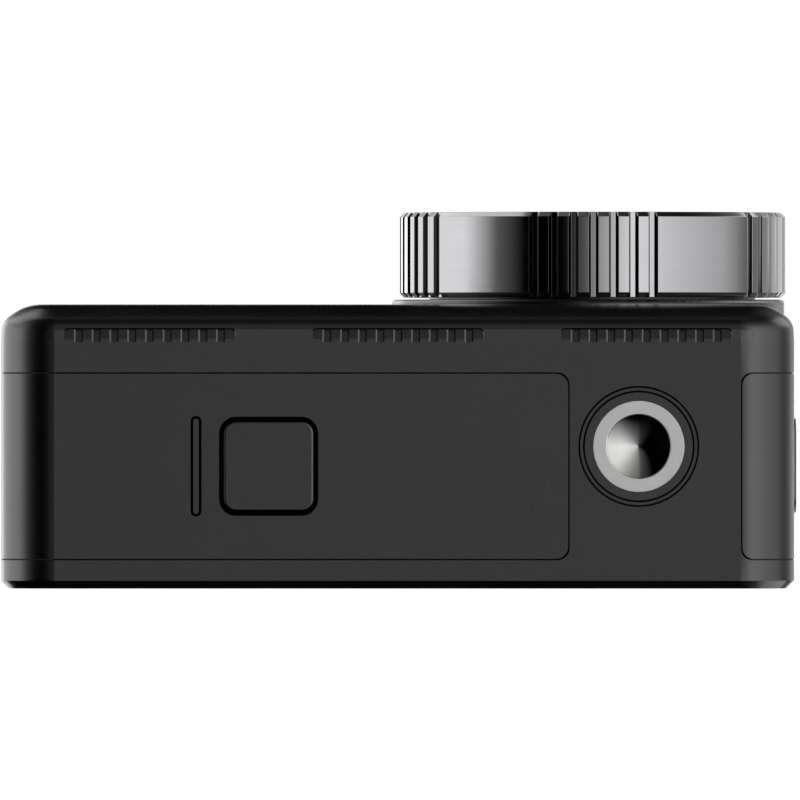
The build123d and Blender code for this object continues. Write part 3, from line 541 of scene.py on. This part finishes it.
def make_materials(finishes):
    """Every finish by its slot in the record."""
    body = tuple(finishes.body)
    rim = half_width("guard_ring")
    cover, panel = (0.003, 0.003, 0.0035), (0.008, 0.0085, 0.01)
    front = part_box("front_display")
    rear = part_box("rear_display")
    return {
        "body_plastic": moulded("body_plastic", body, 0.26, smudge=0.02, joints=True, ior=1.83),
        "trim_plastic": moulded("trim_plastic", shade(body, 0.8), 0.22, 0.3 * MM, 0.003 * MM, 0.03, ior=1.8),
        "ring_metal": turned_metal("ring_metal", tuple(finishes.ring), 0.13, LENS, knurled=rim),
        "screen_glass": black_glass("rear_screen_glass", cover, *rear, panel),
        "front_screen_glass": black_glass("front_screen_glass", cover, *front, panel),
        "display": moulded("display", (0.01, 0.011, 0.014), 0.2, 0.2 * MM, 0.001 * MM),
        "window_glass": clear_glass("window_glass", (0.93, 0.97, 0.95), 1.45, (0.75, 0.95, 0.8)),
        "lens_glass": clear_glass("lens_glass", (0.9, 0.93, 0.97), 1.6, (0.6, 0.7, 1.0)),
        "filter_glass": clear_glass("filter_glass", (0.55, 0.8, 0.82), 1.5, (1.0, 0.6, 0.6)),
        "barrel_black": turned_metal(
            "barrel_black", (0.02, 0.02, 0.021), 0.38, LENS, 0.12 * MM, 0.004 * MM
        ),
        "insert_metal": threaded_metal("insert_metal", tuple(finishes.insert)),
        "steel": blasted_metal("steel", (0.5, 0.5, 0.51), 0.3),
        "spring_steel": blasted_metal("spring_steel", (0.42, 0.42, 0.43), 0.25),
        "tin_shield": stamped_metal("tin_shield", (0.55, 0.55, 0.54), 0.3),
        "spreader_metal": stamped_metal("spreader_metal", (0.7, 0.7, 0.71), 0.4),
        "contact_gold": stamped_metal("contact_gold", (0.75, 0.5, 0.18), 0.22),
        "board_green": circuit_board("board_green", (0.006, 0.04, 0.022)),
        "silicon": sensor_face("silicon"),
        "seal_rubber": soft_rubber("seal_rubber", (0.02, 0.02, 0.022)),
        "battery_wrap": printed_wrap("battery_wrap", (0.01, 0.03, 0.06)),
        "contact_block": moulded("contact_block", (0.008, 0.008, 0.008), 0.5),
        "card_plastic": moulded("card_plastic", (0.012, 0.012, 0.014), 0.45, 0.2 * MM),
        "red_mark": moulded("red_mark", tuple(finishes.accent), 0.25, 0.4 * MM, 0.002 * MM),
        "light_pipe": moulded("light_pipe", (0.4, 0.4, 0.38), 0.25, subsurface_weight=0.3),
    }


# ---------------------------------------------------------------- mesh helpers


def turned(profile, centre, axis, side, steps, closed=True, angle=FULL_TURN, rise=0.0):
    """A new bmesh: a profile of (radius, along) points spun about an axis."""
    bm = bmesh.new()
    verts = [bm.verts.new(centre + side * radius + axis * along) for radius, along in profile]
    ends = verts[1:] + verts[:1] if closed else verts[1:]
    edges = [bm.edges.new(pair) for pair in zip(verts, ends)]
    full = rise == 0.0
    bmesh.ops.spin(
        bm,
        geom=verts + edges,
        cent=centre,
        axis=axis,
        angle=angle,
        steps=steps,
        dvec=axis * rise,
        use_merge=full,
    )
    bmesh.ops.remove_doubles(bm, verts=bm.verts, dist=0.0005 * MM)
    bmesh.ops.recalc_face_normals(bm, faces=bm.faces)
    return bm


def add_block(bm, low, high, bevel=0.0):
    """Adds a box between two corners, with bevelled edges if asked."""
    low, high = Vector(low), Vector(high)
    size = high - low
    place = Matrix.Translation((low + high) / 2) @ Matrix.Diagonal((*size, 1))
    made = bmesh.ops.create_cube(bm, size=1, matrix=place)
    if bevel:
        edges = list({edge for vert in made["verts"] for edge in vert.link_edges})
        bmesh.ops.bevel(
            bm,
            geom=edges,
            offset=bevel,
            offset_type="OFFSET",
            affect="EDGES",
            segments=2,
            profile=0.5,
            material=-1,
        )


def place_piece(bm, name, material, body, replaced=(), sharp=35.0, bevel=0.0):
    """Turns a bmesh into a piece that rides on a body."""
    mesh = bpy.data.meshes.new(name)
    bm.to_mesh(mesh)
    bm.free()
    mesh.materials.append(material)
    mesh.shade_smooth()
    mesh.set_sharp_from_angle(angle=math.radians(sharp))
    piece = bpy.data.objects.new(name, mesh)
    bpy.context.scene.collection.objects.link(piece)
    if bevel:
        rounding = piece.modifiers.new("rounding", "BEVEL")
        rounding.width = bevel
        rounding.segments = 2
        rounding.limit_method = "ANGLE"
        rounding.angle_limit = math.radians(sharp)
        rounding.harden_normals = True
    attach(piece, body)
    if replaced:
        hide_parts(*replaced)
    return piece


def finish_of(name):
    """A finish made earlier."""
    return bpy.data.materials[name + "_finish"]


# ---------------------------------------------------------------- operators


class CAMERA_OT_finishes(bpy.types.Operator):
    """Give every CAD part its finish"""

    bl_idname = "camera_looks.finishes"
    bl_label = "Finishes"

    def execute(self, context):
        materials = make_materials(context.scene.camera_finishes)
        slots = {part["node"]: part["material_slot"] for part in frame["record"]["subparts"]}
        slots["front_glass"] = "front_screen_glass"
        for node, part in frame["nodes"].items():
            for number in range(len(part.material_slots)):
                part.material_slots[number].material = materials[slots[node]]
        return {"FINISHED"}


class CAMERA_OT_guard_ring(bpy.types.Operator):
    """Cut the knurled ring of the lens guard"""

    bl_idname = "camera_looks.guard_ring"
    bl_label = "Knurled ring"

    groups = 5
    grooves = 7
    pitch = math.radians(6)
    steps = 1800
    pocket = 15.0 * MM
    pocket_depth = 1.5 * MM

    def execute(self, context):
        sizes = context.scene.camera_sizes
        low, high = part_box("guard_ring")
        radius = high.x - LENS.x
        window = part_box("guard_window")
        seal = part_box("guard_seal")
        seat = half_width("guard_window")
        bore = half_width("guard_seal")
        pocket_front = high.y - self.pocket_depth
        chamfer = sizes.ring_chamfer
        profile = [
            (radius - chamfer, low.y),
            (radius, low.y + chamfer),
            (radius, high.y - chamfer),
            (radius - chamfer, high.y),
            (self.pocket, high.y),
            (self.pocket, pocket_front),
            (bore, pocket_front),
            (bore, seal[0].y),
            (seat, window[1].y),
            (seat, low.y),
        ]
        bm = turned(profile, LENS, REAR, RIGHT, self.steps)
        for vert in bm.verts:
            self.cut(vert, radius, sizes)
        place_piece(
            bm,
            "guard_knurled_ring",
            finish_of("ring_metal"),
            "lens_guard",
            ["guard_ring"],
            sharp=25.0,
            bevel=0.035 * MM,
        )
        return {"FINISHED"}

    def cut(self, vert, radius, sizes):
        """Draws a rim vertex in to the groove that it lies in, if any."""
        arm = Vector((vert.co.x - LENS.x, 0, vert.co.z - LENS.z))
        floor = radius - sizes.knurl_depth
        if arm.length < floor:
            return
        from_bottom = math.atan2(arm.x, -arm.z)
        spread = FULL_TURN / self.groups
        in_group = (from_bottom + spread / 2) % spread - spread / 2
        groove = round(in_group / self.pitch)
        if abs(groove) > self.grooves // 2:
            return
        off = abs(in_group - groove * self.pitch)
        slope = sizes.knurl_mouth - sizes.knurl_floor
        share = min(max((sizes.knurl_mouth - off) / slope, 0.0), 1.0)
        reach = min(arm.length, radius - share * sizes.knurl_depth)
        vert.co += arm.normalized() * (reach - arm.length)


class CAMERA_OT_guard_window(bpy.types.Operator):
    """Set the flat window in the lens guard"""

    bl_idname = "camera_looks.guard_window"
    bl_label = "Guard window"

    def execute(self, context):
        low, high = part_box("guard_window")
        radius = half_width("guard_window")
        profile = [(0, low.y), (radius, low.y), (radius, high.y), (0, high.y)]
        bm = turned(profile, LENS, REAR, RIGHT, 160, closed=False)
        place_piece(
            bm,
            "guard_window_pane",
            finish_of("window_glass"),
            "lens_guard",
            ["guard_window"],
            bevel=0.12 * MM,
        )
        return {"FINISHED"}


class CAMERA_OT_lens_glass(bpy.types.Operator):
    """Grind the lens elements"""

    bl_idname = "camera_looks.lens_glass"
    bl_label = "Lens elements"

    inner_bulges = (0.7 * MM, -0.5 * MM, 0.6 * MM)
    rings = 14
    dish = 0.5 * MM

    def execute(self, context):
        bulges = (context.scene.camera_sizes.dome, *self.inner_bulges)
        for number, bulge in enumerate(bulges, 1):
            self.element(number, bulge)
        return {"FINISHED"}

    def element(self, number, bulge):
        """One element: a turned disc with a curved front and a dished back."""
        node = f"lens_element_{number}"
        low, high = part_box(node)
        rim = half_width(node)
        clear = rim - half_width("lens_retainer") + RETAINER_BORE if number == 1 else rim * 0.9
        edge = low.y if number == 1 else low.y + max(bulge, 0)
        shares = [ring / self.rings for ring in range(self.rings + 1)]
        front = [(clear * share, edge - bulge * (1 - share * share)) for share in shares]
        back = [(rim, edge), (rim, high.y), (clear * 0.8, high.y), (0, high.y - self.dish)]
        bm = turned(front + back, LENS, REAR, RIGHT, 128, closed=False)
        place_piece(bm, f"lens_glass_{number}", finish_of("lens_glass"), "camera", [node])


class CAMERA_OT_lens_barrel(bpy.types.Operator):
    """Turn the lens barrel with its stepped black baffles"""

    bl_idname = "camera_looks.lens_barrel"
    bl_label = "Lens barrel"

    ribs = 9
    neck = 11.8 * MM
    flange = 1.0 * MM
    rear_radius = 8.2 * MM
    throat = 3.4 * MM
    baffle_gap = 0.2 * MM
    lip = 0.25 * MM

    def execute(self, context):
        low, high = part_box("lens_barrel")
        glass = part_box("lens_element_1")
        hood = half_width("lens_element_1")
        tube = half_width("lens_element_2")
        rim = half_width("lens_barrel")
        flange_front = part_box("lens_plinth")[1].y
        flange_rear = flange_front + self.flange
        outer = [
            (self.neck, low.y),
            (self.neck, flange_front),
            (rim, flange_front),
            (rim, flange_rear),
            (self.rear_radius, flange_rear),
            (self.rear_radius, high.y),
        ]
        inner = [(tube, high.y), (tube, glass[1].y), (hood, glass[1].y), (hood, low.y)]
        bm = turned(outer + inner, LENS, REAR, RIGHT, 160)
        place_piece(
            bm,
            "lens_tube",
            finish_of("barrel_black"),
            "camera",
            ["lens_barrel"],
            bevel=0.08 * MM,
        )
        self.baffle(glass[1].y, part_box("lens_element_2")[0].y, tube)
        self.retainer()
        return {"FINISHED"}

    def baffle(self, front, rear, tube):
        """A stepped funnel behind the front element."""
        step_in = (tube - self.throat) / self.ribs
        step_back = (rear - front - self.baffle_gap) / self.ribs
        profile = [(tube, front)]
        for rib in range(self.ribs):
            radius = tube - step_in * (rib + 1)
            start = front + step_back * rib
            profile.append((radius, start))
            profile.append((radius, start + step_back))
        profile.append((tube, front + step_back * self.ribs))
        bm = turned(profile, LENS, REAR, RIGHT, 128)
        place_piece(bm, "lens_baffle", finish_of("barrel_black"), "camera")

    def retainer(self):
        """The screwed ring that holds the front element, chamfered round its mouth."""
        low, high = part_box("lens_retainer")
        rim = half_width("lens_retainer")
        profile = [
            (RETAINER_BORE, low.y + self.lip),
            (RETAINER_BORE + self.lip, low.y),
            (rim, low.y),
            (rim, high.y),
            (RETAINER_BORE, high.y),
        ]
        bm = turned(profile, LENS, REAR, RIGHT, 128)
        place_piece(
            bm,
            "lens_retaining_ring",
            finish_of("barrel_black"),
            "camera",
            ["lens_retainer"],
            bevel=0.05 * MM,
        )


class CAMERA_OT_tripod_thread(bpy.types.Operator):
    """Cut the tripod insert and its thread"""

    bl_idname = "camera_looks.tripod_thread"
    bl_label = "Tripod thread"

    minor = 2.65 * MM
    mouth = 0.05 * MM
    lead = 0.25 * MM
    depth = 7.0 * MM
    drill_slope = math.tan(math.radians(8))
    drill_tip = (0.2 * MM, 0.1 * MM, 0)
    root_share = 0.42
    crest_share = 0.1
    sunk = 0.03 * MM
    steps_per_turn = 64

    def execute(self, context):
        sizes = context.scene.camera_sizes
        low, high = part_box("tripod_insert")
        rim = half_width("tripod_insert")
        major, minor = sizes.thread_radius, self.minor
        radii = (minor, *self.drill_tip)
        cone = [(radius, self.depth + (minor - radius) * self.drill_slope) for radius in radii]
        profile = [
            (0, high.z),
            (rim, high.z),
            (rim, low.z),
            (minor + self.mouth, low.z),
            (minor, low.z + self.mouth),
            (minor, low.z + self.lead),
            (major, low.z + 2 * self.lead),
            (major, self.depth - self.lead),
            *cone,
        ]
        bm = turned(profile, THREAD, UP, RIGHT, 160, closed=False)
        place_piece(
            bm,
            "tripod_insert_body",
            finish_of("insert_metal"),
            "camera",
            ["tripod_insert"],
            bevel=0.05 * MM,
        )
        self.ridge(sizes.thread_pitch, major, low.z + self.lead, self.depth - self.lead)
        return {"FINISHED"}

    def ridge(self, pitch, major, start, end):
        """The thread's ridge, one tooth spun up a helix and closed at both ends."""
        root = self.root_share * pitch
        crest = self.crest_share * pitch
        middle_of_tooth = start + pitch / 2
        steps = round((end - start - pitch) / pitch * self.steps_per_turn)
        tooth = [
            (major + self.sunk, middle_of_tooth - root),
            (self.minor, middle_of_tooth - crest),
            (self.minor, middle_of_tooth + crest),
            (major + self.sunk, middle_of_tooth + root),
        ]
        angle = FULL_TURN * steps / self.steps_per_turn
        bm = turned(tooth, THREAD, UP, RIGHT, steps, angle=angle, rise=pitch / self.steps_per_turn)
        bmesh.ops.holes_fill(bm, edges=[edge for edge in bm.edges if edge.is_boundary], sides=4)
        bmesh.ops.recalc_face_normals(bm, faces=bm.faces)
        place_piece(bm, "tripod_thread_ridge", finish_of("insert_metal"), "camera")


class CAMERA_OT_contacts(bpy.types.Operator):
    """Lay the gilt contacts of the port and the battery"""

    bl_idname = "camera_looks.contacts"
    bl_label = "Contacts"

    port_contacts = 12
    port_pitch = 0.5 * MM
    strip_start = 3.6 * MM
    strip = Vector((2.8, 0.03, 0.26)) * MM
    tongue = 0.35 * MM
    battery_pads = 3
    pad_pitch = 3.2 * MM
    pad = Vector((2.0, 3.0, 0.06)) * MM
    pad_round = 0.02 * MM

    def execute(self, context):
        self.port()
        self.battery()
        return {"FINISHED"}

    def port(self):
        """Contact strips on both faces of the port's tongue."""
        low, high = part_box("usb_socket")
        centre = (low + high) / 2
        bm = bmesh.new()
        for face in (-1, 1):
            for number in range(self.port_contacts):
                z = centre.z + (number - (self.port_contacts - 1) / 2) * self.port_pitch
                y = centre.y + face * (self.tongue + self.strip.y / 2)
                corner = Vector((high.x - self.strip_start, y - self.strip.y / 2, z - self.strip.z / 2))
                add_block(bm, corner, corner + self.strip)
        place_piece(bm, "port_contacts", finish_of("contact_gold"), "camera")

    def battery(self):
        """Pads in the top of the battery, under the sprung contacts."""
        low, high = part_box("battery")
        centre = (low + high) / 2
        bm = bmesh.new()
        for number in range(self.battery_pads):
            x = centre.x + (number - (self.battery_pads - 1) / 2) * self.pad_pitch
            corner = Vector((x - self.pad.x / 2, centre.y - self.pad.y / 2, high.z))
            add_block(bm, corner, corner + self.pad, self.pad_round)
        place_piece(bm, "battery_pads", finish_of("contact_gold"), "battery")


class CAMERA_OT_door_lips(bpy.types.Operator):
    """Fit the thin lips that close the slits at both ends of each door"""

    bl_idname = "camera_looks.door_lips"
    bl_label = "Door lips"

    thickness = 0.08 * MM
    sunk = 0.06 * MM
    depth = 1.3 * MM
    corner = 4.5 * MM
    slit = 0.06 * MM

    def execute(self, context):
        low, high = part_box("main_housing")
        bm = bmesh.new()
        for door, side, pin in (("battery_door", -1, "battery_door_pin"), ("port_door", 1, "port_door_pin")):
            skin = low.x if side == -1 else high.x
            centre = Vector((skin - side * self.corner, 0, low.z + self.corner))
            top = middle(pin).z
            for end in (0, 1):
                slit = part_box(door)[end].y + (2 * end - 1) * self.slit
                self.lip(bm, centre, side, slit, top)
        bmesh.ops.recalc_face_normals(bm, faces=bm.faces)
        place_piece(bm, "door_lips", finish_of("seal_rubber"), "camera")
        return {"FINISHED"}

    def lip(self, bm, centre, side, slit, top):
        """One lip: a bar round the corner, carried on up the side."""
        outer = self.corner - self.sunk
        inner = outer - self.depth
        half = self.thickness / 2
        section = [(inner, slit - half), (outer, slit - half), (outer, slit + half), (inner, slit + half)]
        points = [Vector((centre.x, y, centre.z - radius)) for radius, y in section]
        verts = [bm.verts.new(point) for point in points]
        face = bm.faces.new(verts)
        turn = bmesh.ops.spin(
            bm,
            geom=[face],
            cent=centre,
            axis=REAR,
            angle=side * -math.pi / 2,
            steps=16,
        )
        ends = [item for item in turn["geom_last"] if isinstance(item, bmesh.types.BMFace)]
        raised = bmesh.ops.extrude_face_region(bm, geom=ends)
        moved = [item for item in raised["geom"] if isinstance(item, bmesh.types.BMVert)]
        bmesh.ops.translate(bm, verts=moved, vec=(0, 0, top - centre.z))
        bmesh.ops.delete(bm, geom=ends, context="FACES_ONLY")


class CAMERA_OT_stage(bpy.types.Operator):
    """Set the floor, the lights and the camera"""

    bl_idname = "camera_looks.stage"
    bl_label = "Stage"

    view_centre = (-19.9 * MM, -3.87 * MM)
    floor_reach = 4.0
    room = (
        ("front_left_light", (-0.6, -0.75, 0.4), (0.7, 0.7)),
        ("front_right_light", (0.8, -0.55, 0.5), (0.5, 0.7)),
        ("back_light", (0.45, 0.8, 0.5), (0.8, 0.7)),
        ("top_light", (-0.2, 0.1, 1), (1.0, 0.8)),
    )

    def execute(self, context):
        settings = context.scene.camera_stage
        distance = self.camera(context, settings)
        self.floor(context, distance)
        for name, direction, size in self.room:
            self.softbox(context, name, direction, size, settings.room_light)
        self.world(context, settings.side_light)
        context.scene.view_settings.view_transform = "Standard"
        return {"FINISHED"}

    def camera(self, context, settings):
        """A long lens straight below, with the front side of the object at the top."""
        data = bpy.data.cameras.new("view_camera")
        data.lens = settings.focal_length
        distance = settings.view_width * data.lens / data.sensor_width
        data.clip_end = 10 * distance
        camera = bpy.data.objects.new("view_camera", data)
        camera.location = (*self.view_centre, -distance)
        camera.rotation_euler = (math.pi, 0, 0)
        context.scene.collection.objects.link(camera)
        context.scene.camera = camera
        return distance

    def floor(self, context, distance):
        """A plain pale floor, below the camera."""
        bm = bmesh.new()
        bmesh.ops.create_grid(bm, x_segments=1, y_segments=1, size=self.floor_reach)
        bmesh.ops.translate(bm, verts=bm.verts, vec=(0, 0, -2 * distance))
        mesh = bpy.data.meshes.new("stage_floor")
        bm.to_mesh(mesh)
        bm.free()
        mesh.materials.append(new_material("stage_pale", base_color=(0.8, 0.8, 0.8), roughness=0.8)[0])
        floor = bpy.data.objects.new("stage_floor", mesh)
        floor.visible_glossy = False
        floor.visible_diffuse = False
        context.scene.collection.objects.link(floor)

    def softbox(self, context, name, direction, size, radiance):
        """An area light one metre away that faces the object, its height along Y where it can be."""
        away = Vector(direction).normalized()
        tall = REAR if abs(away.y) < 0.5 else UP
        wide = tall.cross(away).normalized()
        tall = away.cross(wide)
        data = bpy.data.lights.new(name, "AREA")
        data.shape = "RECTANGLE"
        data.size, data.size_y = size
        data.energy = radiance * math.pi * size[0] * size[1]
        light = bpy.data.objects.new(name, data)
        turn = Matrix((wide, tall, away)).transposed().to_4x4()
        light.matrix_world = Matrix.Translation(away) @ turn
        light.visible_camera = False
        context.scene.collection.objects.link(light)

    def world(self, context, radiance):
        """White behind the object, and a soft light that wraps the underside."""
        world = bpy.data.worlds.new("stage_world")
        world.use_nodes = True
        tree = world.node_tree
        parts = coordinates(tree, "Generated")
        down = arithmetic(tree, "MULTIPLY", parts[2], -1.0)
        turn = arithmetic(tree, "ARCTAN2", parts[0], down)
        bands = add_node(tree, "ShaderNodeValToRGB", {"Fac": remap(tree, turn, -math.pi, math.pi, 0, 1)})
        fill_ramp(bands.color_ramp, [(0.5 + degrees / 360, level) for degrees, level in LIGHT_BANDS])
        along = add_node(tree, "ShaderNodeValToRGB", {"Fac": remap(tree, parts[1], -1, 1, 0, 1)})
        fill_ramp(along.color_ramp, [((1 + place) / 2, level) for place, level in LIGHT_DEPTH])
        lit = product(tree, (bands.outputs["Color"], along.outputs["Color"], radiance))
        seen = add_node(tree, "ShaderNodeLightPath").outputs["Is Camera Ray"]
        strength = arithmetic(tree, "MAXIMUM", lit, seen)
        tree.links.new(strength, tree.nodes["Background"].inputs["Strength"])
        tree.nodes["Background"].inputs["Color"].default_value = (1, 1, 1, 1)
        context.scene.world = world


OPERATORS = (
    CAMERA_OT_finishes,
    CAMERA_OT_guard_ring,
    CAMERA_OT_guard_window,
    CAMERA_OT_lens_glass,
    CAMERA_OT_lens_barrel,
    CAMERA_OT_tripod_thread,
    CAMERA_OT_contacts,
    CAMERA_OT_door_lips,
    CAMERA_OT_stage,
)


class CAMERA_PT_looks(bpy.types.Panel):
    """Action camera looks"""

    bl_label = "Action Camera"
    bl_idname = "CAMERA_PT_looks"
    bl_space_type = "VIEW_3D"
    bl_region_type = "UI"
    bl_category = "Action Camera"

    def draw(self, context):
        for group in ("camera_sizes", "camera_finishes", "camera_stage"):
            settings = getattr(context.scene, group)
            box = self.layout.box()
            for name in settings.__annotations__:
                box.prop(settings, name)
        for operator in OPERATORS:
            self.layout.operator(operator.bl_idname)


CLASSES = (CameraSizes, CameraFinishes, CameraStage, *OPERATORS, CAMERA_PT_looks)


def register():
    for cls in CLASSES:
        bpy.utils.register_class(cls)
    bpy.types.Scene.camera_sizes = bpy.props.PointerProperty(type=CameraSizes)
    bpy.types.Scene.camera_finishes = bpy.props.PointerProperty(type=CameraFinishes)
    bpy.types.Scene.camera_stage = bpy.props.PointerProperty(type=CameraStage)


def unregister():
    del bpy.types.Scene.camera_stage
    del bpy.types.Scene.camera_finishes
    del bpy.types.Scene.camera_sizes
    for cls in reversed(CLASSES):
        bpy.utils.unregister_class(cls)


def main():
    """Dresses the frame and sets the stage."""
    register()
    for operator in OPERATORS:
        group, name = operator.bl_idname.split(".")
        getattr(getattr(bpy.ops, group), name)()


if __name__ == "__main__":
    main()
